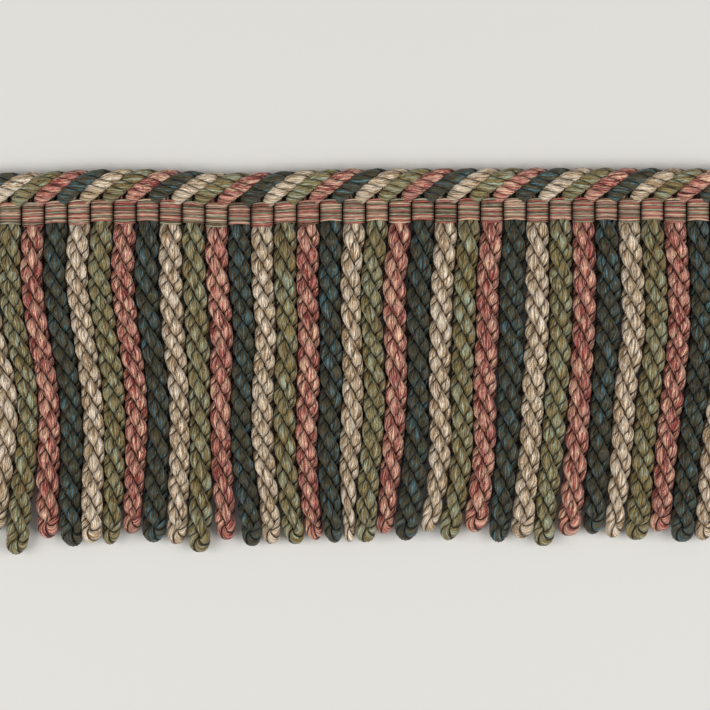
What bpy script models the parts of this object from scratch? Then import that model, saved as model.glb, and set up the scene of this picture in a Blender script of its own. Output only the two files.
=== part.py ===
"""A cut length of bullion fringe, lying flat and face up.

Four ropes, one of each colour, are laid in turn through a woven heading band. Each rope comes down
through a rib of the band, hangs below it as a bullion twisted back on itself, goes up through the
same rib, and wraps over the heading's top edge to the next rib of its colour, four ribs along.

X runs along the fringe, Y from the bullions' tips to the heading, and Z up from the surface.
The sizes below are in millimetres, and the scene is in metres.
"""

import math
from collections import namedtuple

import bmesh
import bpy
from mathutils import Vector

MM = 0.001

# The woven band
RIB_COUNT = 33
RIB_PITCH = 10.0
BAND_HEIGHT = 9.6
BAND_CROWN = 9.5
BAND_GROOVE = 8.7
BAND_EDGE_ROUNDING = 1.2
RIB_CROWN_HALF_WIDTH = 3.2
CHANNEL_HALF_WIDTH = 4.4
CHANNEL_BOTTOM = 1.3
CHANNEL_TOP = 8.2
CUTTER_OVERHANG = 1.0
HEADING_ABOVE_BAND = 15.1

# The ropes inside the band's ribs
ROOT_HALF_WIDTH = 4.0
ROOT_BOTTOM = 1.6
ROOT_TOP = 7.9
ROOT_BELOW_BAND = 0.5

# The bullions, each a strand of four sides, twisted
STRAND_HALF_WIDTH = 4.7
STRAND_HALF_HEIGHT = 4.7
STRAND_CLEARANCE = 0.4
STRAND_TURN = 24.0
STRAND_STEPS_PER_TURN = 5
STRAND_PHASE_STEP = 37.0
SHOULDER_DROP = 4.0
LONGEST_DROP = 142.8

# How a bullion's folded tip closes: shares of the half width, along the fold and across it
TipRing = namedtuple("TipRing", "along across")
TIP_RINGS = (TipRing(0.55, 0.88), TipRing(0.88, 0.62), TipRing(1.0, 0.3))

# The ropes over the heading, each of three sides, twisted
WRAP_RADIUS = 2.95
WRAP_TURN = 13.8
WRAP_STEPS_PER_TURN = 4
WRAP_LAYER_GAP = 6.2
RIBS_PER_WRAP = 4
CURL_START_X = 13.5
CURL_STEPS = 8
TANGENT_REACH = 0.8

# Where each bullion's centre line lies, as a shift along X from its rib, at four levels below the
# band and at its tip, and how far its tip is below the band.
Sway = namedtuple("Sway", "high middle low end tip drop")
HIGH_LEVEL = 23.5
MIDDLE_LEVEL = 45.5
LOW_LEVEL = 82.5
END_LEVEL = 115.5
SWAYS = [
    Sway(*row)
    for row in (
        # high, middle, low, end, tip, drop
        (-0.3, 2.0, 8.2, 5.5, 3.0, 133.0),
        (0.0, 2.5, 7.5, 5.0, 2.5, 142.8),
        (-0.5, 2.0, 6.8, 6.5, 6.0, 135.8),
        (-0.5, 2.0, 6.7, 6.5, 7.0, 139.5),
        (-1.0, 2.0, 6.2, 6.0, 5.5, 137.3),
        (-1.0, 1.5, 5.5, 5.0, 3.7, 139.0),
        (-1.0, 1.5, 4.7, 4.0, 3.0, 134.0),
        (-0.5, 1.0, 4.5, 3.5, 2.5, 137.5),
        (0.0, 1.0, 3.7, 3.7, 2.5, 138.5),
        (0.5, 1.5, 3.0, 3.0, 2.5, 142.4),
        (0.5, 2.2, 2.0, 3.0, 4.0, 136.5),
        (0.5, 2.0, 0.8, 3.3, 5.3, 139.3),
        (0.0, 1.5, 0.2, 2.5, 4.0, 138.6),
        (0.0, 1.0, -0.2, 1.7, 4.0, 138.9),
        (-0.5, 0.0, -0.5, 0.5, 2.5, 136.7),
        (-0.5, 0.0, -0.5, -0.6, 0.7, 138.0),
        (-1.3, -1.0, -1.0, -2.3, -1.9, 137.6),
        (-2.3, -2.2, -1.7, -3.9, -4.5, 137.6),
        (-2.3, -2.0, -2.2, -4.9, -6.5, 134.5),
        (-1.5, -2.0, -2.5, -5.2, -7.4, 136.7),
        (-1.7, -2.5, -2.5, -4.5, -8.0, 133.2),
        (-1.5, -2.3, -3.0, -5.0, -9.0, 137.1),
        (-2.0, -2.0, -3.2, -5.0, -7.7, 133.2),
        (-1.5, -1.5, -2.8, -5.2, -7.3, 137.6),
        (0.0, 0.0, -2.5, -5.2, -7.3, 136.2),
        (0.0, -0.3, -2.5, -5.8, -7.5, 139.7),
        (0.5, -0.3, -2.0, -4.5, -6.5, 135.4),
        (1.0, 0.5, -2.3, -4.5, -6.0, 134.5),
        (1.7, 2.0, -2.5, -5.0, -7.2, 135.8),
        (1.7, 1.7, -2.3, -5.2, -7.0, 137.1),
        (1.2, 1.7, -2.0, -5.5, -7.0, 133.6),
        (1.0, 1.2, -2.0, -5.5, -6.8, 137.6),
        (0.0, 0.0, -2.0, -5.7, -8.0, 137.1),
    )
]

# The whole length is centred on the origin
HALF_LENGTH = RIB_COUNT * RIB_PITCH / 2
OVERALL_HEIGHT = HEADING_ABOVE_BAND + BAND_HEIGHT + LONGEST_DROP
BAND_TOP_Y = OVERALL_HEIGHT / 2 - HEADING_ABOVE_BAND
BAND_BOTTOM_Y = BAND_TOP_Y - BAND_HEIGHT

# The two layers of wraps lie one above the other, the back one on the surface
BACK_LAYER_Z = WRAP_RADIUS
FRONT_LAYER_Z = BACK_LAYER_Z + WRAP_LAYER_GAP
LAYER_MIDDLE_Z = (BACK_LAYER_Z + FRONT_LAYER_Z) / 2
CURL_RADIUS = WRAP_LAYER_GAP / 2
CURL_START_Y = HEADING_ABOVE_BAND - WRAP_RADIUS - CURL_RADIUS
WRAP_SPAN = RIBS_PER_WRAP * RIB_PITCH

# A wrap's rise from its rib's root to the front: X from the rib, and Y from the band's top
RisePlace = namedtuple("RisePlace", "x y z radius")
WRAP_RISE = (
    RisePlace(1.2, -2.6, 5.9, 1.5),
    RisePlace(1.4, -0.4, 6.0, 1.5),
    RisePlace(2.9, 1.5, 6.7, 1.7),
    RisePlace(5.2, 3.0, 8.0, 2.1),
    RisePlace(8.5, 5.6, FRONT_LAYER_Z, 2.5),
    RisePlace(CURL_START_X, CURL_START_Y, FRONT_LAYER_Z, WRAP_RADIUS),
)

Rope = namedtuple("Rope", "name first_rib colour")
ROPES = (
    Rope("cream_rope", 0, (0.60, 0.50, 0.37)),
    Rope("sage_rope", 1, (0.24, 0.25, 0.16)),
    Rope("rose_rope", 2, (0.45, 0.17, 0.13)),
    Rope("teal_rope", 3, (0.05, 0.08, 0.08)),
)
BAND_COLOUR = (0.46, 0.22, 0.17)


def clear_scene():
    for obj in list(bpy.data.objects):
        bpy.data.objects.remove(obj, do_unlink=True)


def yarn_material(name, colour):
    material = bpy.data.materials.new(name)
    material.use_nodes = True
    shader = material.node_tree.nodes["Principled BSDF"]
    shader.inputs["Base Color"].default_value = (*colour, 1)
    shader.inputs["Roughness"].default_value = 0.8
    shader.inputs["Metallic"].default_value = 0
    return material


def add_object(name, points, faces, material=None):
    """A mesh object from points in millimetres."""
    mesh = bpy.data.meshes.new(name)
    mesh.from_pydata([Vector(point) * MM for point in points], [], faces)
    shape = bmesh.new()
    shape.from_mesh(mesh)
    bmesh.ops.recalc_face_normals(shape, faces=shape.faces)
    shape.to_mesh(mesh)
    shape.free()
    obj = bpy.data.objects.new(name, mesh)
    bpy.context.scene.collection.objects.link(obj)
    if material:
        mesh.materials.append(material)
    return obj


def hide_helper(obj):
    obj.hide_render = True
    obj.display_type = "WIRE"


def loft(points, faces, rings):
    """Adds a closed body through rings with the same number of corners, capped at both ends.

    Each side is split from a ring's corner to the next ring's following one, so twisted rings turn
    against their own corners' order.
    """
    corners = len(rings[0])
    start = len(points)
    for ring in rings:
        points.extend(ring)
    for level in range(len(rings) - 1):
        here = start + level * corners
        there = here + corners
        for corner in range(corners):
            following = (corner + 1) % corners
            faces.append((here + corner, here + following, there + following))
            faces.append((here + corner, there + following, there + corner))
    faces.append(tuple(range(start + corners - 1, start - 1, -1)))
    last = start + (len(rings) - 1) * corners
    faces.append(tuple(range(last, last + corners)))


def rib_x(rib):
    return (rib + 0.5) * RIB_PITCH - HALF_LENGTH


def smooth_value(knots, at):
    """Reads a smooth curve through (place, value) knots, flat at its first one."""
    at = min(max(at, knots[0][0]), knots[-1][0])
    for index in range(len(knots) - 1):
        if at <= knots[index + 1][0]:
            break
    (x0, y0), (x1, y1) = knots[index], knots[index + 1]
    slopes = []
    for middle in (index, index + 1):
        if middle == 0:
            slopes.append(0.0)
            continue
        before, after = knots[middle - 1], knots[min(middle + 1, len(knots) - 1)]
        slopes.append((after[1] - before[1]) / (after[0] - before[0]))
    length = x1 - x0
    t = (at - x0) / length
    return (
        (2 * t**3 - 3 * t**2 + 1) * y0
        + (t**3 - 2 * t**2 + t) * length * slopes[0]
        + (3 * t**2 - 2 * t**3) * y1
        + (t**3 - t**2) * length * slopes[1]
    )


def strand_x(rib, down):
    """The centre line's X at a distance below the band."""
    sway = SWAYS[rib]
    knots = (
        (0.0, 0.0),
        (HIGH_LEVEL, sway.high),
        (MIDDLE_LEVEL, sway.middle),
        (LOW_LEVEL, sway.low),
        (END_LEVEL, sway.end),
        (sway.drop, sway.tip),
    )
    return rib_x(rib) + smooth_value(knots, down)


def strand_half_width(rib, down):
    """Full where there is room, and squeezed where its neighbours crowd it."""
    here = strand_x(rib, down)
    room = min(
        abs(strand_x(other, down) - here)
        for other in (rib - 1, rib + 1)
        if 0 <= other < RIB_COUNT
    )
    return min(STRAND_HALF_WIDTH, (room - STRAND_CLEARANCE) / 2)


def square_ring(x, y, z, half_width, half_height, turned):
    return [
        (
            x + half_width * math.cos(turned + corner * math.pi / 2),
            y,
            z + half_height * math.sin(turned + corner * math.pi / 2),
        )
        for corner in range(4)
    ]


def root_ring(x, y):
    """The rope's oblong section inside the band."""
    return [
        (x + ROOT_HALF_WIDTH, y, ROOT_TOP),
        (x - ROOT_HALF_WIDTH, y, ROOT_TOP),
        (x - ROOT_HALF_WIDTH, y, ROOT_BOTTOM),
        (x + ROOT_HALF_WIDTH, y, ROOT_BOTTOM),
    ]


def strand_rings(rib):
    """A root through the band, then the twisted bullion, ending in the rope's rounded fold."""
    x = rib_x(rib)
    rings = [root_ring(x, BAND_TOP_Y), root_ring(x, BAND_BOTTOM_Y - ROOT_BELOW_BAND)]
    drop = SWAYS[rib].drop
    body = drop - SHOULDER_DROP - STRAND_HALF_WIDTH
    steps = round(body / STRAND_TURN * STRAND_STEPS_PER_TURN)
    turn = -math.radians(360 / STRAND_STEPS_PER_TURN)
    start = math.radians(rib * STRAND_PHASE_STEP % 90)
    for step in range(steps + 1):
        down = SHOULDER_DROP + body * step / steps
        rings.append(
            square_ring(
                strand_x(rib, down),
                BAND_BOTTOM_Y - down,
                STRAND_HALF_HEIGHT,
                strand_half_width(rib, down),
                STRAND_HALF_HEIGHT,
                start + turn * step,
            )
        )
    for tip in TIP_RINGS:
        down = drop - STRAND_HALF_WIDTH * (1 - tip.along)
        rings.append(
            square_ring(
                strand_x(rib, down),
                BAND_BOTTOM_Y - down,
                STRAND_HALF_HEIGHT,
                strand_half_width(rib, down) * tip.across,
                STRAND_HALF_HEIGHT * tip.across,
                start + turn * (steps + tip.along),
            )
        )
    return rings


def wrap_route():
    """Half a wrap from a rib's root to the top edge, then its mirror image, in WRAP_RISE's columns.

    The rope rises from the root, lies slantwise on the front, curls over the top edge and goes
    down the back to the fourth rib on.
    """
    front = list(WRAP_RISE)
    for step in range(1, CURL_STEPS // 2 + 1):
        angle = math.pi * step / CURL_STEPS
        front.append(
            (
                CURL_START_X + (WRAP_SPAN - 2 * CURL_START_X) * step / CURL_STEPS,
                CURL_START_Y + CURL_RADIUS * math.sin(angle),
                LAYER_MIDDLE_Z + CURL_RADIUS * math.cos(angle),
                WRAP_RADIUS,
            )
        )
    back = [
        (WRAP_SPAN - x, y, 2 * LAYER_MIDDLE_Z - z, radius)
        for x, y, z, radius in reversed(front[:-1])
    ]
    return front + back


def linear_value(knots, at):
    at = min(max(at, knots[0][0]), knots[-1][0])
    for (x0, y0), (x1, y1) in zip(knots, knots[1:]):
        if at <= x1:
            return y0 + (y1 - y0) * (at - x0) / (x1 - x0)
    return knots[-1][1]


def wrap_rings(rib):
    """A rope of three sides along the wrap that starts at this rib, cut at the fringe's ends."""
    route = wrap_route()
    places = [Vector((x + rib_x(rib), y + BAND_TOP_Y, z)) for x, y, z, _ in route]
    along = [0.0]
    for before, after in zip(places, places[1:]):
        along.append(along[-1] + (after - before).length)
    axes = [list(zip(along, values)) for values in zip(*places)]
    radii = [(distance, place[3]) for distance, place in zip(along, route)]
    steps = round(along[-1] / WRAP_TURN * WRAP_STEPS_PER_TURN)
    rings = []
    for step in range(steps + 1):
        distance = along[-1] * step / steps
        centre, ahead, behind = (
            Vector([linear_value(axis, at) for axis in axes])
            for at in (distance, distance + TANGENT_REACH, distance - TANGENT_REACH)
        )
        if abs(centre.x) > HALF_LENGTH - WRAP_RADIUS:
            continue
        tangent = (ahead - behind).normalized()
        side = (Vector((1, 0, 0)) - tangent * tangent.x).normalized()
        other = tangent.cross(side)
        radius = linear_value(radii, distance)
        turned = 2 * math.pi * step / WRAP_STEPS_PER_TURN
        ring = []
        for corner in range(3):
            angle = turned - corner * 2 * math.pi / 3
            ring.append(centre + (side * math.cos(angle) + other * math.sin(angle)) * radius)
        rings.append(ring)
    return rings


def add_rope(rope):
    """One colour's rope: its bullions and roots, joined into one solid by its wraps."""
    ribs = range(rope.first_rib, RIB_COUNT, RIBS_PER_WRAP)
    points, faces = [], []
    for rib in ribs:
        loft(points, faces, strand_rings(rib))
    strands = add_object(rope.name, points, faces, yarn_material(rope.name, rope.colour))
    points, faces = [], []
    for rib in range(rope.first_rib - RIBS_PER_WRAP, RIB_COUNT, RIBS_PER_WRAP):
        loft(points, faces, wrap_rings(rib))
    wraps = add_object(rope.name + "_wraps", points, faces)
    hide_helper(wraps)
    join = strands.modifiers.new("join_wraps", "BOOLEAN")
    join.operation = "UNION"
    join.solver = "EXACT"
    join.object = wraps
    return strands


def band_profile(front):
    """The band's section across its height, with its front corners rounded."""
    y0, y1 = BAND_BOTTOM_Y, BAND_TOP_Y
    soft = BAND_EDGE_ROUNDING
    return [
        (y0, 0.0),
        (y0, front - soft),
        (y0 + soft, front),
        (y1 - soft, front),
        (y1, front - soft),
        (y1, 0.0),
    ]


def add_band():
    """The woven band: one bulging rib over each rope, and a channel through every rib."""
    rings = []
    rib_shape = (
        (-RIB_PITCH / 2, BAND_GROOVE),
        (-RIB_CROWN_HALF_WIDTH, BAND_CROWN),
        (RIB_CROWN_HALF_WIDTH, BAND_CROWN),
    )
    for rib in range(RIB_COUNT):
        for offset, front in rib_shape:
            rings.append([(rib_x(rib) + offset, y, z) for y, z in band_profile(front)])
    rings.append([(HALF_LENGTH, y, z) for y, z in band_profile(BAND_GROOVE)])
    points, faces = [], []
    loft(points, faces, rings)
    band = add_object("woven_band", points, faces, yarn_material("woven_band", BAND_COLOUR))
    points, faces = [], []
    for rib in range(RIB_COUNT):
        x = rib_x(rib)
        channel = [
            [
                (x - CHANNEL_HALF_WIDTH, y, CHANNEL_BOTTOM),
                (x + CHANNEL_HALF_WIDTH, y, CHANNEL_BOTTOM),
                (x + CHANNEL_HALF_WIDTH, y, CHANNEL_TOP),
                (x - CHANNEL_HALF_WIDTH, y, CHANNEL_TOP),
            ]
            for y in (BAND_TOP_Y + CUTTER_OVERHANG, BAND_BOTTOM_Y - CUTTER_OVERHANG)
        ]
        loft(points, faces, channel)
    channels = add_object("band_channels", points, faces)
    hide_helper(channels)
    cut = band.modifiers.new("cut_channels", "BOOLEAN")
    cut.operation = "DIFFERENCE"
    cut.solver = "EXACT"
    cut.object = channels
    return band


clear_scene()
add_band()
for rope in ROPES:
    add_rope(rope)
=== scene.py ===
"""The looks of a cut length of bullion fringe, laid flat and seen from above.

Sizes are in millimetres until a mesh is made. X runs along the fringe, Y from the bullions' tips to
the heading, and Z up from the surface.
"""

import math
from collections import namedtuple

import bpy
import numpy as np
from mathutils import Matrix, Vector


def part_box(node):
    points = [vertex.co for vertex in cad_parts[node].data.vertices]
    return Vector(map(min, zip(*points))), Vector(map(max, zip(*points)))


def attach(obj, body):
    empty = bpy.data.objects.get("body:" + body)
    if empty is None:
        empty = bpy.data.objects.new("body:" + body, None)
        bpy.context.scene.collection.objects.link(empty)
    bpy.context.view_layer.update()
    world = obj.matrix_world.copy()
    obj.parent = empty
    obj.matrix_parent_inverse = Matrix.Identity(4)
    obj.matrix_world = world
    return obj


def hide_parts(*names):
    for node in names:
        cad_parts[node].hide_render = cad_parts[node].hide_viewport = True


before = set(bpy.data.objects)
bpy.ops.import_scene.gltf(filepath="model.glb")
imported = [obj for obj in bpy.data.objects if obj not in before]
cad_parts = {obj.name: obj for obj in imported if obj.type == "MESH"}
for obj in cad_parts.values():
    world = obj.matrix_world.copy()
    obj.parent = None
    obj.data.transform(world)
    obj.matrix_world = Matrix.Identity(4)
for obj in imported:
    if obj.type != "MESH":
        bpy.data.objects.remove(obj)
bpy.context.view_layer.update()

# The camera looks straight down from well above the fringe, so that the bullions keep one scale
# over the whole picture. The view is a little shorter than the cut length. Its width is the one at
# about the height of the cords' middles.
MM = 0.001
VIEW_WIDTH = 310.0
VIEW_LEVEL = 5.0
VIEW_CENTRE = (0.4, 2.6)
CAMERA_HEIGHT = 1300.0
SENSOR_WIDTH = 36.0

camera_data = bpy.data.cameras.new("camera")
camera_data.sensor_width = SENSOR_WIDTH
camera_data.lens = SENSOR_WIDTH * (CAMERA_HEIGHT - VIEW_LEVEL) / VIEW_WIDTH
camera = bpy.data.objects.new("camera", camera_data)
camera.location = Vector((*VIEW_CENTRE, CAMERA_HEIGHT)) * MM
bpy.context.scene.collection.objects.link(camera)
bpy.context.scene.camera = camera

# The heading band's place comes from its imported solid, and each of its ribs holds one bullion. The
# heading isn't quite straight: it rises and falls a little along its length.
RIB_COUNT = 33
band_low, band_high = (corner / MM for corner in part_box("woven_band"))
LEFT_END, RIGHT_END = band_low.x, band_high.x
BAND_BOTTOM_Y, BAND_TOP_Y = band_low.y, band_high.y
RIB_PITCH = (RIGHT_END - LEFT_END) / RIB_COUNT
HEADING_WAVE_X = (-165.0, -142.0, -115.0, -90.0, -50.0, -15.0, 50.0, 120.0, 165.0)
HEADING_WAVE_RISE = (-0.3, -0.2, 1.0, 1.2, -0.4, 1.0, 1.6, 1.7, 1.3)


def rib_x(rib):
    return LEFT_END + (rib + 0.5) * RIB_PITCH


def smooth_curve(places, values, at):
    """A smooth curve through values at rising places, flat at the first one."""
    places, values = np.asarray(places, float), np.asarray(values, float)
    slopes = np.gradient(values, places)
    slopes[0] = 0.0
    at = np.clip(at, places[0], places[-1])
    left = np.clip(np.searchsorted(places, at) - 1, 0, len(places) - 2)
    length = places[left + 1] - places[left]
    t = (at - places[left]) / length
    return (
        (2 * t**3 - 3 * t**2 + 1) * values[left]
        + (t**3 - 2 * t**2 + t) * length * slopes[left]
        + (3 * t**2 - 2 * t**3) * values[left + 1]
        + (t**3 - t**2) * length * slopes[left + 1]
    )


def heading_rise(x):
    return smooth_curve(HEADING_WAVE_X, HEADING_WAVE_RISE, x)


# The yarn is soft spun viscose and cotton: long filaments of several shades lie side by side in each
# ply, so a ply is streaked along its length. Three plies make a rope, and each colour is one rope.
RopeColour = namedtuple("RopeColour", "node slot first_rib shades groove")
ROPES = (
    # A shade comes with its place among the streaks. The last colour is painted shade, laid deep
    # between the plies and ropes
    RopeColour(
        "cream_rope",
        "cream_yarn",
        0,
        (
            (0.38, (0.28, 0.17, 0.085)),
            (0.44, (0.50, 0.36, 0.20)),
            (0.50, (0.66, 0.52, 0.35)),
            (0.55, (0.56, 0.44, 0.33)),
            (0.62, (0.82, 0.71, 0.57)),
        ),
        (0.110, 0.065, 0.032),
    ),
    RopeColour(
        "sage_rope",
        "sage_yarn",
        1,
        (
            (0.37, (0.080, 0.060, 0.020)),
            (0.43, (0.32, 0.21, 0.050)),
            (0.48, (0.20, 0.16, 0.070)),
            (0.54, (0.28, 0.22, 0.10)),
            (0.58, (0.22, 0.22, 0.125)),
            (0.63, (0.35, 0.40, 0.29)),
        ),
        (0.018, 0.015, 0.007),
    ),
    RopeColour(
        "rose_rope",
        "rose_yarn",
        2,
        (
            (0.38, (0.18, 0.028, 0.022)),
            (0.44, (0.40, 0.085, 0.060)),
            (0.49, (0.50, 0.19, 0.13)),
            (0.54, (0.56, 0.34, 0.28)),
            (0.58, (0.44, 0.15, 0.10)),
            (0.63, (0.78, 0.52, 0.33)),
        ),
        (0.055, 0.014, 0.008),
    ),
    RopeColour(
        "teal_rope",
        "teal_yarn",
        3,
        (
            (0.38, (0.016, 0.016, 0.010)),
            (0.46, (0.092, 0.068, 0.022)),
            (0.53, (0.054, 0.050, 0.023)),
            (0.58, (0.038, 0.047, 0.032)),
            (0.61, (0.042, 0.086, 0.088)),
            (0.67, (0.075, 0.170, 0.200)),
        ),
        (0.003, 0.003, 0.003),
    ),
)
# Streaks and the hairs in them are drawn out along the filaments
STREAK_STRETCH = (1.0, 1.0, 0.06)
STREAK_SCALE = 1.65
HAIR_STRETCH = (1.0, 1.0, 0.05)
HAIR_SCALE = 2.6
# How much a ply's dye, which drifts along it, moves its place among the shades
DYE_SHARE = 0.10
# How light the yarn is by its hairs, and by the height of its crown a painted shade towards each
# lobe's edges and a painted highlight on its top. A ramp's places end at 1, so the height, in
# millimetres, is brought down to fit.
HAIR_LIGHT = ((0.36, 0.55), (0.64, 1.38))
CROWN_SHARE = 0.3
PAINTED_CROWN_LIGHT = ((0.0, 0.34), (0.15, 0.80), (0.7, 1.09))
# The painted groove shade gives way to the yarn's colour between these heights of the crown
PAINTED_GROOVE_EDGE = ((0.03, 0.0), (0.28, 1.0))


class Wire:
    """A socket in a material's nodes, so that its maths reads as Python expressions."""

    def __init__(self, tree, socket=None):
        self.tree = tree
        self.socket = socket

    def node(self, kind, settings, sockets, output=0):
        """Any node: its type, its settings, then its sockets' values or links by name or index."""
        made = self.tree.nodes.new(kind)
        for name, value in settings.items():
            if name == "stops":
                ramp = made.color_ramp
                while len(ramp.elements) < len(value):
                    ramp.elements.new(1.0)
                for element, (place, colour) in zip(ramp.elements, value):
                    element.position = place
                    element.color = (*colour, 1)
            else:
                setattr(made, name, value)
        for key, value in sockets.items():
            if isinstance(value, Wire):
                self.tree.links.new(value.socket, made.inputs[key])
            else:
                made.inputs[key].default_value = value
        return Wire(self.tree, made.outputs[output])

    def maths(self, operation, first, second):
        return self.node("ShaderNodeMath", {"operation": operation}, {0: first, 1: second})

    def __add__(self, other):
        return self.maths("ADD", self, other)

    def __sub__(self, other):
        return self.maths("SUBTRACT", self, other)

    def __rsub__(self, other):
        return self.maths("SUBTRACT", other, self)

    def __mul__(self, other):
        return self.maths("MULTIPLY", self, other)

    __radd__ = __add__
    __rmul__ = __mul__

    def stored_place(self, name):
        """A place kept at the mesh's points."""
        return self.node("ShaderNodeAttribute", {"attribute_name": name}, {}, output=1)

    def stored_number(self, name):
        """A number kept at the mesh's points."""
        return self.node("ShaderNodeAttribute", {"attribute_name": name}, {}, output=2)

    def stretched(self, factors):
        return self.node(
            "ShaderNodeVectorMath", {"operation": "MULTIPLY"}, {0: self, 1: factors}
        )

    def noise(self, scale):
        return self.node(
            "ShaderNodeTexNoise", {}, {"Vector": self, "Scale": scale, "Detail": 1.0}
        )

    def ramp(self, stops):
        return self.node("ShaderNodeValToRGB", {"stops": stops}, {"Fac": self})

    def grey_ramp(self, stops):
        return self.ramp([(place, (level, level, level)) for place, level in stops])

    def mixed(self, first, second):
        """The first colour where this value is 0, and the second where it is 1."""
        return self.node(
            "ShaderNodeMix", {"data_type": "RGBA"}, {0: self, 6: first, 7: second}, output=2
        )

    def tinted(self, colour):
        """This colour multiplied by another."""
        return self.node(
            "ShaderNodeMix",
            {"data_type": "RGBA", "blend_type": "MULTIPLY"},
            {0: 1.0, 6: self, 7: colour},
            output=2,
        )

    def bump(self, strength, height):
        """A surface that stands out by up to this height where this value is high."""
        return self.node(
            "ShaderNodeBump", {}, {"Strength": strength, "Distance": height * MM, "Height": self}
        )

    def feed(self, shader, name):
        self.tree.links.new(self.socket, shader.inputs[name])


def new_material(name):
    material = bpy.data.materials.new(name)
    material.use_nodes = True
    shader = material.node_tree.nodes["Principled BSDF"]
    return material, shader, Wire(material.node_tree)


def plied_yarn(name, shades, groove):
    """Streaks along the filaments, with painted shade where the plies and ropes press together and
    towards each lobe's edges, and a painted highlight on each lobe's crown.
    """
    material, shader, tree = new_material(name)
    fibre = tree.stored_place("fibre")
    crown = tree.stored_number("crown")
    streak = fibre.stretched(STREAK_STRETCH).noise(STREAK_SCALE)
    dye = tree.stored_number("dye")
    hair = fibre.stretched(HAIR_STRETCH).noise(HAIR_SCALE)
    colour = (streak + dye * DYE_SHARE - DYE_SHARE / 2).ramp(shades)
    colour = colour.tinted(hair.grey_ramp(HAIR_LIGHT))
    # Painted shade towards each lobe's edges and a painted highlight on its crown
    colour = colour.tinted((crown * CROWN_SHARE).grey_ramp(PAINTED_CROWN_LIGHT))
    # Painted shade: the groove colour laid where the crown is low, between plies and ropes
    colour = crown.grey_ramp(PAINTED_GROOVE_EDGE).mixed((*groove, 1), colour)
    colour.feed(shader, "Base Color")
    (hair + streak * 0.5).bump(strength=0.6, height=0.15).feed(shader, "Normal")
    shader.inputs["Roughness"].default_value = 0.55
    shader.inputs["Specular IOR Level"].default_value = 0.35
    shader.inputs["Sheen Weight"].default_value = 0.15
    return material


rope_materials = {rope.node: plied_yarn(rope.slot, rope.shades, rope.groove) for rope in ROPES}

PLY_COUNT = 3
# A ply's section, outward and sideways from its rope's middle: a third of a round with soft corners
PLY_OUT = np.array((1.0, 0.87, 0.58, 0.30, 0.30, 0.58, 0.87))
PLY_SIDE = np.array((0.0, 0.45, 0.74, 0.51, -0.51, -0.74, -0.45))
# How far its own middle is from the rope's, and how wide its filaments wind about that
PLY_MIDDLE = 0.55
PLY_WIDTH = 0.62
# The dye drifts along a ply from one shade to another in this length
DYE_LENGTH = 11.0
# Each ply's streaks start anywhere in this length, so that no two plies are streaked alike
STREAK_LENGTH = 900.0
# The rings of a yarn are laid out flat for baking in strips, with this share of a strip left bare
# on each side
STRIP_MARGIN = 0.06
Ply = namedtuple("Ply", "rings fibre crown dye")
# How much of the winding a ply's filaments turn back, so that they run along the ply, how much a
# ply hurries where it faces outward, and how much it swells there
Twist = namedtuple("Twist", "unwound hurry swell")
# A rope's winding runs ahead and falls behind by this much, in radians, in spells of uneven length
UNEVEN_WINDING = 0.25
UNEVEN_SPELLS = (2.5, 4)
random = np.random.default_rng(7)


def unit(vectors):
    return vectors / np.linalg.norm(vectors, axis=-1, keepdims=True)


def about(value, spread):
    """A value that differs from this one by up to a share of it."""
    return value * random.uniform(1 - spread, 1 + spread)


def uneven(wound):
    return wound + UNEVEN_WINDING * np.sin(wound / random.uniform(*UNEVEN_SPELLS))


def rope_plies(path, outward, forward, radius, turned, travelled, twist):
    """The plies of a rope along a path: each one's rings, filament places and crown heights.

    outward and forward are directions along the path, radius is the rope's, turned is how far its
    plies have wound, in radians, and travelled is the length so far.
    """
    forward = unit(forward)
    across = unit(np.cross(forward, outward))
    outward = np.cross(across, forward)
    half_share = math.pi / PLY_COUNT
    plies = []
    for number in range(PLY_COUNT):
        paced = turned + twist.hurry * np.sin(PLY_COUNT * turned)
        angle = (paced + 2 * half_share * number)[:, None]
        swell = 1 + twist.swell * np.cos(angle)
        out_part = PLY_MIDDLE + (PLY_OUT - PLY_MIDDLE) * swell
        side_part = PLY_SIDE * swell
        from_contact = out_part * math.sin(half_share) - np.abs(side_part) * math.cos(half_share)
        u = (out_part * np.cos(angle) - side_part * np.sin(angle)) * radius[:, None]
        w = (out_part * np.sin(angle) + side_part * np.cos(angle)) * radius[:, None]
        points = path[:, None] + u[..., None] * outward[:, None] + w[..., None] * across[:, None]
        unwinding = twist.unwound * turned + twist.hurry / PLY_WIDTH * np.sin(PLY_COUNT * turned)
        lay = np.arctan2(PLY_SIDE, PLY_OUT - PLY_MIDDLE) + unwinding[:, None]
        ply_radius = PLY_WIDTH * radius.mean()
        streak_start = random.uniform(0, STREAK_LENGTH)
        fibre = np.stack(
            (
                ply_radius * np.cos(lay),
                ply_radius * np.sin(lay),
                np.broadcast_to(travelled[:, None] + streak_start, lay.shape),
            ),
            axis=-1,
        )
        knots = np.arange(0, travelled[-1] + 2 * DYE_LENGTH, DYE_LENGTH)
        shade = smooth_curve(knots, random.uniform(0, 1, len(knots)), travelled)
        dye = np.broadcast_to(shade[:, None], u.shape)
        plies.append(Ply(points, fibre, from_contact * radius[:, None], dye))
    return plies


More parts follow.
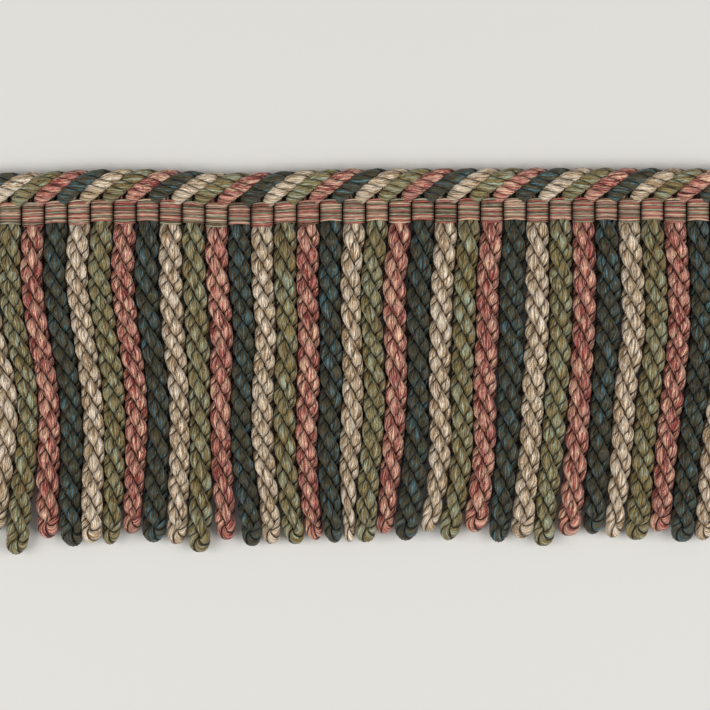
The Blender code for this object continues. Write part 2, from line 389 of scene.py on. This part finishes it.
def flat_strips(tube, tube_count, rows, sides, folds):
    """A tube's places on the bake map: its faces, and then its two cut ends."""
    row, side = np.meshgrid(np.arange(rows - 1), np.arange(sides), indexing="ij")
    rows_per_strip = -(-(rows - 1) // folds)
    strip = tube * folds + row // rows_per_strip
    strip_height = 1 / (tube_count * folds)
    corners = []
    for one_row, one_side in ((0, 0), (0, 1), (1, 1), (1, 0)):
        along = (row % rows_per_strip + one_row) / rows_per_strip
        up = STRIP_MARGIN + (1 - 2 * STRIP_MARGIN) * (side + one_side) / sides
        corners.append(np.stack((along, (strip + up) * strip_height), axis=-1))
    quad = np.stack(corners, axis=2)
    first_cut = np.broadcast_to(quad[0, 0, 0], (sides, 2))
    last_cut = np.broadcast_to(quad[-1, 0, 2], (sides, 2))
    return np.concatenate((quad.reshape(-1, 2), first_cut, last_cut))


def yarn_piece(name, tubes, material, folds):
    """One mesh of closed tubes, with each point's filament place, crown height and dye.

    Its bake map lays each tube out flat, cut across into this many strips.
    """
    points, fibres, crowns, dyes, faces, flat = [], [], [], [], [], []
    start = 0
    for tube, (rings, fibre, crown, dye) in enumerate(tubes):
        rows, sides = crown.shape
        flat.append(flat_strips(tube, len(tubes), rows, sides, folds))
        corner = np.arange(rows * sides).reshape(rows, sides) + start
        following = np.roll(corner, -1, axis=1)
        quads = np.stack((corner[:-1], following[:-1], following[1:], corner[1:]), axis=-1)
        faces.extend(quads.reshape(-1, 4).tolist())
        faces.append(corner[0, ::-1].tolist())
        faces.append(corner[-1].tolist())
        points.append(rings.reshape(-1, 3))
        fibres.append(fibre.reshape(-1, 3))
        crowns.append(crown.ravel())
        dyes.append(dye.ravel())
        start += rows * sides
    mesh = bpy.data.meshes.new(name)
    mesh.from_pydata(np.concatenate(points) * MM, [], faces)
    mesh.shade_smooth()
    bake_map = mesh.uv_layers.new(name="OFBake")
    bake_map.data.foreach_set("uv", np.concatenate(flat).astype(np.float32).ravel())
    place = mesh.attributes.new("fibre", "FLOAT_VECTOR", "POINT")
    place.data.foreach_set("vector", np.concatenate(fibres).astype(np.float32).ravel())
    for stored, values in (("crown", crowns), ("dye", dyes)):
        attribute = mesh.attributes.new(stored, "FLOAT", "POINT")
        attribute.data.foreach_set("value", np.concatenate(values).astype(np.float32))
    mesh.materials.append(material)
    piece = bpy.data.objects.new(name, mesh)
    bpy.context.scene.collection.objects.link(piece)
    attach(piece, "root")
    return piece


# A bullion is a hard-twisted cord of three ropes, and hangs from its rib of the heading. Two of the
# ropes are one, folded back at the tip, where it shows as a small loop. Each sways on its own.
Sway = namedtuple("Sway", "at_24 at_45 at_72 at_94 at_115 tip drop width rise")
SWAY_LEVELS = (0.0, 24.0, 45.5, 71.5, 93.5, 115.5)
SWAYS = [
    Sway(*row)
    for row in (
        # Shifts along X from the rib, that far below the band, then the drop from the band to the
        # tip, and the tip's width and rise above the surface
        (-0.5, 2.0, 8.5, 8.5, 5.5, 3.0, 133.0, 10.0, 0.0),
        (0.0, 2.5, 7.5, 7.5, 5.0, 2.5, 142.8, 10.0, 0.0),
        (-0.5, 2.0, 6.5, 7.0, 6.5, 6.5, 135.8, 10.0, 0.0),
        (-0.5, 2.0, 6.0, 7.0, 6.5, 7.5, 139.5, 11.0, 0.0),
        (-1.0, 2.0, 5.5, 7.0, 6.0, 5.5, 137.3, 11.0, 2.5),
        (-1.0, 1.5, 5.0, 5.5, 5.0, 3.5, 139.0, 8.5, 0.0),
        (-1.0, 1.5, 5.0, 5.0, 4.0, 3.0, 134.0, 8.5, 0.0),
        (-0.5, 1.0, 4.5, 5.0, 3.5, 2.5, 137.5, 11.0, 0.0),
        (0.0, 1.0, 3.5, 4.0, 3.5, 2.5, 138.5, 9.0, 0.0),
        (0.5, 1.5, 2.5, 3.0, 3.0, 2.5, 142.4, 10.0, 0.0),
        (0.5, 2.5, 2.0, 2.0, 3.0, 4.5, 136.5, 8.5, 0.0),
        (0.5, 2.0, 1.0, 0.5, 3.5, 5.5, 139.3, 9.0, 0.0),
        (0.0, 1.5, 0.0, 0.0, 2.5, 4.0, 138.6, 8.5, 0.0),
        (0.0, 1.0, 0.0, 0.0, 1.5, 4.5, 138.9, 9.5, 0.0),
        (-0.5, 0.0, 0.0, -1.0, 0.5, 3.0, 136.7, 8.5, 0.0),
        (-0.5, 0.0, 0.0, -1.0, -0.5, 1.5, 138.0, 9.0, 2.0),
        (-1.5, -1.0, -0.5, -1.5, -2.5, -2.0, 137.6, 6.0, 0.0),
        (-2.5, -2.5, -1.0, -2.0, -4.0, -5.0, 137.6, 10.0, 2.0),
        (-2.5, -2.0, -1.5, -3.0, -5.0, -7.0, 134.5, 8.5, 0.0),
        (-1.5, -2.0, -2.0, -3.0, -5.0, -7.5, 136.7, 11.0, 1.0),
        (-1.5, -2.5, -3.0, -2.0, -4.0, -8.0, 133.2, 8.5, 0.0),
        (-1.5, -2.0, -3.0, -3.0, -5.0, -9.0, 137.1, 9.5, 0.0),
        (-2.0, -2.0, -3.5, -3.0, -5.0, -7.5, 133.2, 11.0, 0.5),
        (-1.5, -1.5, -2.0, -3.0, -5.0, -7.0, 137.6, 9.5, 0.0),
        (0.0, 0.0, -2.0, -3.0, -5.0, -7.0, 136.2, 11.0, 1.0),
        (0.0, 0.0, -1.5, -3.5, -6.0, -7.5, 139.7, 10.0, 0.0),
        (0.5, 0.0, -1.5, -2.5, -4.5, -6.5, 135.4, 10.5, 0.5),
        (1.0, 0.5, -1.5, -3.0, -4.5, -6.0, 134.5, 9.5, 0.0),
        (1.5, 2.0, -2.0, -3.0, -5.0, -7.0, 135.8, 8.5, 0.0),
        (1.5, 2.0, -1.0, -3.5, -5.0, -7.0, 137.1, 11.0, 0.5),
        (1.5, 1.5, -1.0, -3.5, -5.5, -7.0, 133.6, 10.0, 0.0),
        (1.5, 1.5, -0.5, -3.5, -5.5, -7.0, 137.6, 11.0, 0.5),
        (1.5, 1.0, -0.5, -3.5, -5.5, -8.0, 137.1, 9.5, 0.0),
    )
]
CORD_MIDDLE_Z = 5.6
CORD_HALF_WIDTH = 5.7
ROPE_RADIUS = 3.0
ROPE_ORBIT = 3.1
CORD_RADIUS = ROPE_ORBIT + ROPE_RADIUS
# The ropes wind once about the cord in this length, and the plies this often about their rope
# meanwhile. Each bullion differs from both by up to a share.
CORD_TURN = 33.4
TURN_SPREAD = 0.05
LAYS_PER_TURN = 2.95
LAY_SPREAD = 0.03
ROPE_TWIST = Twist(unwound=0.60, hurry=0.08, swell=0.30)
# A rope is a little thicker and thinner by turns
WOBBLE_SHARE = 0.04
WOBBLE_LENGTHS = (2.4, 3.6)
# Half the angle between two ropes, seen from the cord's middle, and how far they sink into each
# other's plies there, which keeps the painted groove shade between ropes to where it lies deep
CONTACT_ANGLE = math.pi / 3
NESTING = 0.5
# The loop at the tip: the first two ropes part above it, their plies keep winding round it, and it
# faces nearly up or down
LOOP_RADIUS = 2.6
LOOP_REACH = 3.5
LOOP_LAY_SHARE = 1.05
LOOP_SWELL = 0.25
LOOP_RINGS = 13
LOOP_TILT = 0.35
# The third rope ends above the loop: it grows thin and draws in over this length
LAST_REACH = 4.5
LAST_RADIUS_SHARE = 0.3
LAST_ORBIT_SHARE = 0.25
# Over this length the cord takes on its tip's own width and rise
TIP_REACH = 45.0
# The top is hidden in the heading, and reaches its full width and twist this far below the band
HIDDEN_TOP = 7.0
TOP_REACH = 6.0
TOP_WIDTH_SHARE = 0.80
TOP_TWIST_SHARE = 0.78
# Under the band and just below it the cord is flatter, and nearer the surface
TOP_DEPTH_SHARE = 0.82
TOP_MIDDLE_Z = 4.7
FREED_ABOVE = 2.0
FREED_LENGTH = 7.0
# Neighbours press against each other, a hair apart, and give way over this depth
CORD_GAP = 0.04
PRESS_DEPTH = 0.9
RING_STEP = 0.9
# One rope's run: its path, its directions away from the cord's middle and forward, its share of the
# full radius, how far it has parted from the others, its angle about the cord, and its winding
Run = namedtuple("Run", "path outward forward share parted angle winding")


def ease(t):
    t = np.clip(t, 0, 1)
    return t * t * (3 - 2 * t)


def near_tip(rib, down):
    return ease((down - SWAYS[rib].drop + TIP_REACH) / TIP_REACH)


def cord_x(rib, down):
    sway = SWAYS[rib]
    return rib_x(rib) + smooth_curve(SWAY_LEVELS + (sway.drop,), (0.0,) + tuple(sway[:6]), down)


def cord_half_width(rib, down):
    share = near_tip(rib, down)
    return CORD_HALF_WIDTH + share * (SWAYS[rib].width / 2 - CORD_HALF_WIDTH)


def room_beside(rib, other, down):
    """How far a cord may reach on one side, where its neighbour presses against it."""
    if not 0 <= other < RIB_COUNT:
        return np.full_like(down, 2 * CORD_RADIUS)
    between = np.abs(cord_x(other, down) - cord_x(rib, down)) - CORD_GAP
    half_width = cord_half_width(rib, down)
    return between * half_width / (half_width + cord_half_width(other, down))


def pressed(reach, room):
    """How far a cord's surface reaches, flattened where it comes up against something."""
    free = room - PRESS_DEPTH
    return np.minimum(reach, free) + PRESS_DEPTH * np.tanh(np.maximum(reach - free, 0) / PRESS_DEPTH)


def squeezed(rib, rings, down):
    """Rings about the cord's own middle, moved to its place and flattened by what they touch."""
    across = rings[..., 0] / CORD_RADIUS * cord_half_width(rib, down)
    room = np.where(across < 0, room_beside(rib, rib - 1, down), room_beside(rib, rib + 1, down))
    freed = ease((down + FREED_ABOVE) / FREED_LENGTH)
    depth_share = TOP_DEPTH_SHARE + (1 - TOP_DEPTH_SHARE) * freed
    middle = TOP_MIDDLE_Z + (CORD_MIDDLE_Z - TOP_MIDDLE_Z) * freed
    placed = rings.copy()
    placed[..., 0] = cord_x(rib, down) + np.sign(across) * pressed(np.abs(across), room)
    placed[..., 1] = BAND_BOTTOM_Y - down
    placed[..., 2] = middle - pressed(-rings[..., 2] * depth_share, middle)
    placed[..., 2] += SWAYS[rib].rise * near_tip(rib, down)
    return placed


def rope_runs(rib):
    """The folded rope, the single one, the loop's middle and the direction to the loop's side."""
    loop_start = SWAYS[rib].drop - LOOP_RADIUS - ROPE_RADIUS
    down = np.arange(-HIDDEN_TOP, loop_start, RING_STEP)
    turn = about(CORD_TURN, TURN_SPREAD)
    lay = about(turn / LAYS_PER_TURN, LAY_SPREAD)
    tip_facing = random.uniform(-LOOP_TILT, LOOP_TILT) + random.choice((0.0, math.pi))
    # The twist is a little slack where the yarns leave the heading, and tightens just below it. It
    # slackens again into the loop, where the first two ropes part to its two sides.
    tight = TOP_TWIST_SHARE + (1 - TOP_TWIST_SHARE) * ease(down / TOP_REACH)
    parting = ease((down - loop_start + LOOP_REACH) / LOOP_REACH)
    phase = np.cumsum(RING_STEP * tight * (1 - parting) * 2 * math.pi / turn)
    phase += tip_facing - phase[-1]
    wound = np.cumsum(RING_STEP * tight * (1 - parting * (1 - LOOP_LAY_SHARE)) * 2 * math.pi / lay)
    wound = uneven(wound)
    loop_wound = math.pi * LOOP_RADIUS * LOOP_LAY_SHARE * 2 * math.pi / lay
    turned = wound - wound[-1] - loop_wound / 2
    turned += random.choice((0.0, math.pi / PLY_COUNT))
    free_of_heading = (down + heading_rise(rib_x(rib))) / TOP_REACH
    entry = TOP_WIDTH_SHARE + (1 - TOP_WIDTH_SHARE) * ease(free_of_heading)
    lasting = 1 - ease((down - loop_start + LAST_REACH) / LAST_REACH)
    wobble_length = random.uniform(*WOBBLE_LENGTHS)
    wobble = 1 + WOBBLE_SHARE * np.sin(down / wobble_length + random.uniform(0, 2 * math.pi))
    below = np.array((0.0, -1.0, 0.0))
    downward = np.broadcast_to(below, (len(down), 3))

    legs = []
    for away in (-1, 1, 0):
        if away:
            angle = phase + away * (CONTACT_ANGLE + parting * (math.pi / 2 - CONTACT_ANGLE))
            orbit = ROPE_ORBIT + parting * (LOOP_RADIUS - ROPE_ORBIT)
        else:
            angle = phase + math.pi
            orbit = ROPE_ORBIT * (LAST_ORBIT_SHARE + (1 - LAST_ORBIT_SHARE) * lasting)
        outward = np.stack((np.sin(angle), np.zeros_like(angle), np.cos(angle)), axis=-1)
        path = outward * (orbit * entry)[:, None]
        path[:, 1] = -down
        legs.append(Run(path, outward, downward, entry * wobble, parting, angle, turned))
    going_down, coming_up, last = legs

    facing = np.array((math.sin(tip_facing), 0.0, math.cos(tip_facing)))
    side = np.array((facing[2], 0.0, -facing[0]))
    loop_middle = below * down[-1]
    bend = np.linspace(0, math.pi, LOOP_RINGS)[1:-1]
    bend_out = -side * np.cos(bend)[:, None] + below * np.sin(bend)[:, None]
    loop = Run(
        path=bend_out * LOOP_RADIUS + loop_middle,
        outward=bend_out,
        forward=side * np.sin(bend)[:, None] + below * np.cos(bend)[:, None],
        share=1 + LOOP_SWELL * np.sin(bend),
        parted=np.ones(len(bend)),
        angle=np.full(len(bend), np.nan),
        winding=turned[-1] + loop_wound * bend / math.pi,
    )
    winding_back = turned[-1] + loop_wound + wound[-1] - wound
    coming_up = coming_up._replace(forward=-downward, winding=winding_back)
    from_loop_up = (values[::-1] for values in coming_up)
    folded = Run(*(np.concatenate(parts) for parts in zip(going_down, loop, from_loop_up)))
    thinning = LAST_RADIUS_SHARE + (1 - LAST_RADIUS_SHARE) * lasting
    single = last._replace(share=last.share * thinning, parted=1 - lasting)
    return folded, single, loop_middle, side


def bullion_tubes(rib):
    folded, single, loop_middle, side = rope_runs(rib)
    tubes = []
    for run in (folded, single):
        steps = np.linalg.norm(np.diff(run.path, axis=0, prepend=run.path[:1]), axis=1)
        limit = CONTACT_ANGLE + run.parted * (math.pi / 2 - CONTACT_ANGLE)
        radius = ROPE_RADIUS * run.share
        travelled = np.cumsum(steps)
        for ply in rope_plies(
            run.path, run.outward, run.forward, radius, run.winding, travelled, ROPE_TWIST
        ):
            rings = ply.rings
            # How far each point stands out from where its rope presses against the others, or from
            # the loop's middle. With the ply's own crown it sets the painted groove shade and the
            # painted crown light.
            off_axis = np.arctan2(rings[..., 0], rings[..., 2]) - run.angle[:, None]
            off_axis = np.abs((off_axis + math.pi) % (2 * math.pi) - math.pi)
            clear = np.hypot(rings[..., 0], rings[..., 2]) * np.sin(limit[:, None] - off_axis)
            from_loop = rings - loop_middle
            loop_clear = np.hypot(from_loop @ side, from_loop[..., 1])
            clear = np.where(np.isnan(clear), loop_clear, clear)
            placed = squeezed(rib, rings, -rings[..., 1])
            # The crown sets where shade and highlight are painted into the yarn's colour
            crown = np.minimum(ply.crown, clear + NESTING)
            tubes.append(ply._replace(rings=placed, crown=crown))
    return tubes


for rope in ROPES:
    for rib in range(rope.first_rib, RIB_COUNT, len(ROPES)):
        tubes = bullion_tubes(rib)
        bullion = yarn_piece(f"bullion_{rib + 1:02}", tubes, rope_materials[rope.node], 2)
        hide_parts(rope.node)

# Between its bullions each rope comes out of the heading, lies slantwise over the front, curls over
# the top edge and goes down the back, to the next rib of its colour, four ribs along.
RoutePlace = namedtuple("RoutePlace", "x y z radius")
WRAP_RADIUS = 2.95
WRAP_LAY = 12.6
WRAP_LAY_SPREAD = 0.06
WRAP_TWIST = Twist(unwound=0.80, hurry=0.04, swell=0.14)
WRAP_RING_STEP = 1.0
WRAP_SPAN = len(ROPES) * RIB_PITCH
WRAP_MIDDLE_Z = 6.5
WRAP_CROWN_Z = 9.1
WRAP_BACK_Z = 4.6
# From the rib's middle, where its yarns let the rope out, to the heading's top edge
WRAP_RISE = (
    RoutePlace(1.0, -4.0, 5.0, 1.5),
    RoutePlace(1.7, -2.0, 5.3, 1.9),
    RoutePlace(2.7, 0.2, 6.6, 2.6),
    RoutePlace(4.3, 2.6, 8.4, 3.2),
    RoutePlace(7.4, 5.3, WRAP_CROWN_Z, 3.35),
    RoutePlace(12.2, 8.3, WRAP_CROWN_Z, 3.25),
    RoutePlace(16.6, 10.3, 8.4, 3.0),
    RoutePlace(20.0, 11.1, WRAP_MIDDLE_Z, 2.8),
)


def wrap_tubes(first_rib):
    down_back = [
        place._replace(x=WRAP_SPAN - place.x, z=min(2 * WRAP_MIDDLE_Z - place.z, WRAP_BACK_Z))
        for place in WRAP_RISE[-2::-1]
    ]
    route = np.array(list(WRAP_RISE) + down_back)
    along = np.concatenate(
        ([0.0], np.cumsum(np.linalg.norm(np.diff(route[:, :3], axis=0), axis=1)))
    )
    travelled = np.arange(0, along[-1], WRAP_RING_STEP)
    places = np.stack([smooth_curve(along, column, travelled) for column in route.T], axis=-1)
    # A wrap faces forward on the front, up on the top edge and backward on the back
    over = np.clip((places[:, 2] - WRAP_MIDDLE_Z) / (WRAP_CROWN_Z - WRAP_MIDDLE_Z), -1, 1)
    outward = np.stack((np.zeros_like(over), np.sqrt(1 - over**2), over), axis=-1)
    tubes = []
    for rib in range(first_rib - len(ROPES), RIB_COUNT, len(ROPES)):
        path = places[:, :3] + (rib_x(rib), BAND_TOP_Y, 0.0)
        path[:, 1] += heading_rise(path[:, 0])
        kept = np.abs(path[:, 0]) < RIGHT_END - WRAP_RADIUS
        forward = np.gradient(path, axis=0)
        wound = 2 * math.pi * travelled / about(WRAP_LAY, WRAP_LAY_SPREAD)
        turned = uneven(wound) + random.uniform(0, math.pi)
        tubes.extend(
            rope_plies(
                path[kept],
                outward[kept],
                forward[kept],
                places[kept, 3],
                turned[kept],
                travelled[kept],
                WRAP_TWIST,
            )
        )
    return tubes


for rope in ROPES:
    tubes = wrap_tubes(rope.first_rib)
    wraps = yarn_piece(f"{rope.node}_wraps", tubes, rope_materials[rope.node], 1)
    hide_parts(rope.node)

# The heading band is woven: two sets of fine warp yarns pass over and under the ropes by turns, so
# each rib is covered on both faces, and the sets change sides in the grooves between the ribs.
YARNS_PER_FACE = 13
YARN_HALF_HEIGHT = 0.42
YARN_HALF_THICKNESS = 0.45
YARN_ANGLES = np.radians((0, 45, 90, 135, 180, 270))
FILAMENT_RADIUS = 0.5
FLOAT_CROWN_Z = 9.1
FLOAT_BACK_Z = 0.5
RINGS_PER_RIB = 9
# The last ring lies this share of a rib short of the cut end
END_SHARE = 0.001
# A yarn rises steeply out of the groove and runs nearly level over the rib, as a low power of a sine
RISE_POWER = 0.3
# In the groove a yarn is pinched to this share of its height
PINCHED_SHARE = 0.55
# The outermost yarns stand past the band's edges by this much, and bow outward over each rib. The
# set that holds the sage and teal ropes sits a little higher at its lower edge.
EDGE_OVERHANG = 0.2
EDGE_BOW = 0.5
SECOND_SET_RAISE = 0.6
# Each yarn wanders up and down a little, out of step with its neighbours
WANDER = 0.1
WANDER_PER_RIB = 1.7
WANDER_PER_ROW = 2.1
# The crown is lower towards the yarn's two edges, where it meets its neighbours, so painted shade
# darkens those edges
EDGE_FALL = 0.42
BAND_SHADES = (
    (0.00, (0.13, 0.085, 0.045)),
    (0.14, (0.24, 0.15, 0.09)),
    (0.22, (0.36, 0.085, 0.065)),
    (0.38, (0.47, 0.17, 0.13)),
    (0.52, (0.52, 0.31, 0.24)),
    (0.64, (0.23, 0.22, 0.14)),
    (0.78, (0.36, 0.36, 0.25)),
    (0.90, (0.68, 0.46, 0.31)),
)
# Painted shade: the dark colour laid where the crown is low, in the grooves between ribs and along
# each yarn's edges, and the crowns between which it gives way
BAND_PAINTED_GROOVE = (0.012, 0.009, 0.007, 1)
BAND_PAINTED_GROOVE_EDGE = ((0.25, 0.0), (0.75, 1.0))
BAND_HAIR_STRETCH = (1.0, 1.0, 0.12)
BAND_HAIR_SHARE = 0.3
BAND_HAIR_LIGHT = ((0.25, 0.6), (0.75, 1.3))
# Neighbouring yarns differ in shade, and each rib has its own order
RIB_SHADE_STARTS = random.uniform(0, 1, RIB_COUNT)
SHADE_STEP = 0.382
SHADE_SPREAD = 0.16


def band_yarn():
    """Each warp yarn has its own shade over each rib, is finely streaked along it, and has painted
    shade in the grooves between the ribs and along its edges.
    """
    material, shader, tree = new_material("band_yarn")
    fibre = tree.stored_place("fibre")
    crown = tree.stored_number("crown")
    dye = tree.stored_number("dye")
    hair = fibre.stretched(BAND_HAIR_STRETCH).noise(HAIR_SCALE)
    colour = (dye + hair * BAND_HAIR_SHARE - BAND_HAIR_SHARE / 2).ramp(BAND_SHADES)
    colour = colour.tinted(hair.grey_ramp(BAND_HAIR_LIGHT))
    # Painted shade in the grooves between ribs and along the yarns' edges
    colour = crown.grey_ramp(BAND_PAINTED_GROOVE_EDGE).mixed(BAND_PAINTED_GROOVE, colour)
    colour.feed(shader, "Base Color")
    hair.bump(strength=0.5, height=0.1).feed(shader, "Normal")
    shader.inputs["Roughness"].default_value = 0.65
    shader.inputs["Specular IOR Level"].default_value = 0.3
    return material


def warp_tube(row, over_first):
    """One warp yarn along the whole band, over every second rib and under the ones between."""
    share = (1 - np.cos(np.linspace(0, math.pi, RINGS_PER_RIB, endpoint=False))) / 2
    place = np.append((np.arange(RIB_COUNT)[:, None] + share).ravel(), RIB_COUNT - END_SHARE)
    rib = np.floor(place).astype(int)
    within = place - rib
    side = np.where((rib + over_first) % 2 == 0, 1.0, -1.0)
    rise = np.sin(math.pi * within) ** RISE_POWER
    middle = (FLOAT_CROWN_Z + FLOAT_BACK_Z) / 2
    reach = (FLOAT_CROWN_Z - FLOAT_BACK_Z) / 2
    low = BAND_BOTTOM_Y + YARN_HALF_HEIGHT - EDGE_OVERHANG + SECOND_SET_RAISE * over_first
    high = BAND_TOP_Y - YARN_HALF_HEIGHT + EDGE_OVERHANG
    up = row / (YARNS_PER_FACE - 1)
    bow = EDGE_BOW * (2 * up - 1) ** 3 * np.sin(math.pi * within)
    if over_first:
        bow = np.abs(bow)
    x = LEFT_END + place * RIB_PITCH
    y = low + (high - low) * up + bow + heading_rise(x)
    y += WANDER * np.sin(place * WANDER_PER_RIB + row * WANDER_PER_ROW + over_first) * rise
    z = middle + side * reach * rise
    half_height = YARN_HALF_HEIGHT * (PINCHED_SHARE + (1 - PINCHED_SHARE) * rise)
    rings = np.repeat(np.stack((x, y, z), axis=-1)[:, None], len(YARN_ANGLES), axis=1)
    rings[..., 1] += half_height[:, None] * np.cos(YARN_ANGLES)
    rings[..., 2] += side[:, None] * YARN_HALF_THICKNESS * np.sin(YARN_ANGLES)
    streak_start = random.uniform(0, STREAK_LENGTH)
    fibre = np.stack(
        (
            np.broadcast_to(FILAMENT_RADIUS * np.cos(YARN_ANGLES), rings.shape[:2]),
            np.broadcast_to(FILAMENT_RADIUS * np.sin(YARN_ANGLES), rings.shape[:2]),
            np.broadcast_to(x[:, None] + streak_start, rings.shape[:2]),
        ),
        axis=-1,
    )
    # The crown, low in the grooves and at the yarn's edges, sets where shade is painted
    crown = rise[:, None] * (1 - EDGE_FALL * np.abs(np.cos(YARN_ANGLES)) ** 4)
    spread = random.uniform(-SHADE_SPREAD, SHADE_SPREAD, RIB_COUNT)
    shade = (RIB_SHADE_STARTS + row * SHADE_STEP + spread) % 1
    dye = np.broadcast_to(shade[rib][:, None], rings.shape[:2])
    return Ply(rings, fibre, crown, dye)


warps = [warp_tube(row, over_first) for row in range(YARNS_PER_FACE) for over_first in (0, 1)]
band = yarn_piece("heading_warps", warps, band_yarn(), 3)
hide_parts("woven_band")

# The fringe lies on a plain pale sheet, between two soft lamps as on a copy stand, in an even white
# surround. The lamps stand to its left and right, so little light falls between the bullions.
FLOOR_HALF_SIZE = 900.0
FLOOR_COLOUR = (0.781, 0.769, 0.731)
LAMP_PLACES = ((-1500.0, -320.0, 1600.0), (1500.0, -320.0, 1600.0))
LAMP_SIZE = 1400.0
LAMP_POWER = 26.5
SURROUND = 0.265

floor_mesh = bpy.data.meshes.new("floor")
corners = [(x, y, 0) for x, y in ((-1, -1), (1, -1), (1, 1), (-1, 1))]
floor_mesh.from_pydata(np.array(corners) * FLOOR_HALF_SIZE * MM, [], [(0, 1, 2, 3)])
floor = bpy.data.objects.new("floor", floor_mesh)
bpy.context.scene.collection.objects.link(floor)
floor_material, floor_shader, _ = new_material("pale_floor")
floor_shader.inputs["Base Color"].default_value = (*FLOOR_COLOUR, 1)
floor_shader.inputs["Roughness"].default_value = 0.9
floor_mesh.materials.append(floor_material)

for place in LAMP_PLACES:
    light = bpy.data.lights.new("lamp", "AREA")
    light.energy = LAMP_POWER
    light.size = LAMP_SIZE * MM
    lamp = bpy.data.objects.new("lamp", light)
    lamp.location = Vector(place) * MM
    lamp.rotation_euler = (-Vector(place)).to_track_quat("-Z", "Y").to_euler()
    bpy.context.scene.collection.objects.link(lamp)

world = bpy.data.worlds.new("surround")
world.use_nodes = True
world.node_tree.nodes["Background"].inputs["Color"].default_value = (1, 1, 1, 1)
world.node_tree.nodes["Background"].inputs["Strength"].default_value = SURROUND
bpy.context.scene.world = world
bpy.context.scene.view_settings.view_transform = "Standard"
